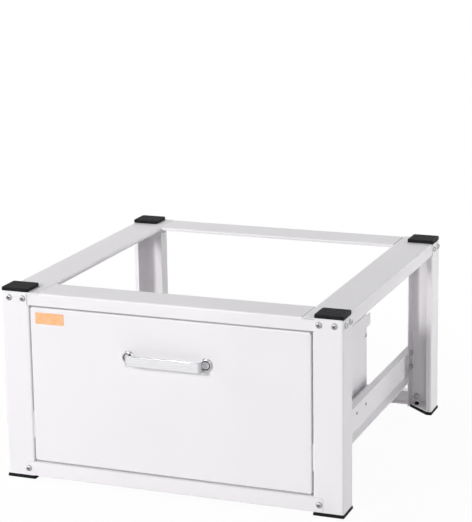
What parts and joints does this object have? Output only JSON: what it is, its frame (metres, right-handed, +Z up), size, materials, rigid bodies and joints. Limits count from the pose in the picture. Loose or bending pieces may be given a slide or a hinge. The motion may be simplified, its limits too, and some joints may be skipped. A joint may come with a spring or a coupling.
{
  "type": "appliance pedestal with drawer",
  "caption": "Low folded-steel stand that raises a washing machine or dryer, with rubber corner pads and feet and a sliding storage drawer with a strap handle.",
  "frame": {"origin": "the middle of the whole closed object's outline in plan, on the floor under the feet", "axes": "+Z up; -Y is the drawer's side and the way the drawer opens; +X is to the right of someone who faces the drawer; the origin is 9.6 mm nearer to the drawer's side than the middle of the frame, because the handle stands out farther than the bolt heads at the back"},
  "size_m": [0.6216, 0.6288, 0.342],
  "materials": {
    "frame_white": "smooth white powder coat",
    "drawer_white": "smooth white powder coat",
    "black_rubber": "matt moulded rubber",
    "bolt_steel": "bright zinc plating",
    "slide_zinc": "zinc plated strip steel",
    "cage_steel": "plain rolled steel strip",
    "handle_chrome": "satin chrome plating"
  },
  "bodies": {
    "frame": {"leg_front_left": "frame_white", "leg_front_right": "frame_white", "leg_rear_left": "frame_white", "leg_rear_right": "frame_white", "foot_front_left": "black_rubber", "foot_front_right": "black_rubber", "foot_rear_left": "black_rubber", "foot_rear_right": "black_rubber", "pad_front_left": "black_rubber", "pad_front_right": "black_rubber", "pad_rear_left": "black_rubber", "pad_rear_right": "black_rubber", "top_rail_front": "frame_white", "top_rail_rear": "frame_white", "top_rail_left": "frame_white", "top_rail_right": "frame_white", "bottom_rail_front": "frame_white", "bottom_rail_rear": "frame_white", "side_rail_left": "frame_white", "side_rail_right": "frame_white", "frame_bolts": "bolt_steel", "side_rail_bolts": "bolt_steel", "slide_outer_left": "slide_zinc", "slide_outer_right": "slide_zinc"},
    "drawer": {"slide_inner_left": "slide_zinc", "slide_inner_right": "slide_zinc", "drawer_front": "drawer_white", "drawer_side_left": "drawer_white", "drawer_side_right": "drawer_white", "drawer_back": "drawer_white", "drawer_floor": "drawer_white", "handle": "handle_chrome", "handle_screws": "bolt_steel"},
    "slide_middle": {"slide_middle_left": "slide_zinc", "slide_middle_right": "slide_zinc"},
    "ball_cages_outer": {"ball_cages_outer": "cage_steel"},
    "ball_cages_inner": {"ball_cages_inner": "cage_steel"}
  },
  "joints": [
    {"name": "drawer_slide", "type": "slide", "parent": "frame", "child": "drawer", "axis": [0, -1, 0], "range_m": [0, 0.3]},
    {"name": "slide_middle_slide", "type": "slide", "parent": "frame", "child": "slide_middle", "axis": [0, -1, 0], "range_m": [0, 0.15]},
    {"name": "ball_cages_outer_slide", "type": "slide", "parent": "frame", "child": "ball_cages_outer", "axis": [0, -1, 0], "range_m": [0, 0.075]},
    {"name": "ball_cages_inner_slide", "type": "slide", "parent": "frame", "child": "ball_cages_inner", "axis": [0, -1, 0], "range_m": [0, 0.225]}
  ],
  "couplings": [
    {"joint": "slide_middle_slide", "follows": "drawer_slide", "ratio": 0.5},
    {"joint": "ball_cages_outer_slide", "follows": "drawer_slide", "ratio": 0.25},
    {"joint": "ball_cages_inner_slide", "follows": "drawer_slide", "ratio": 0.75}
  ]
}
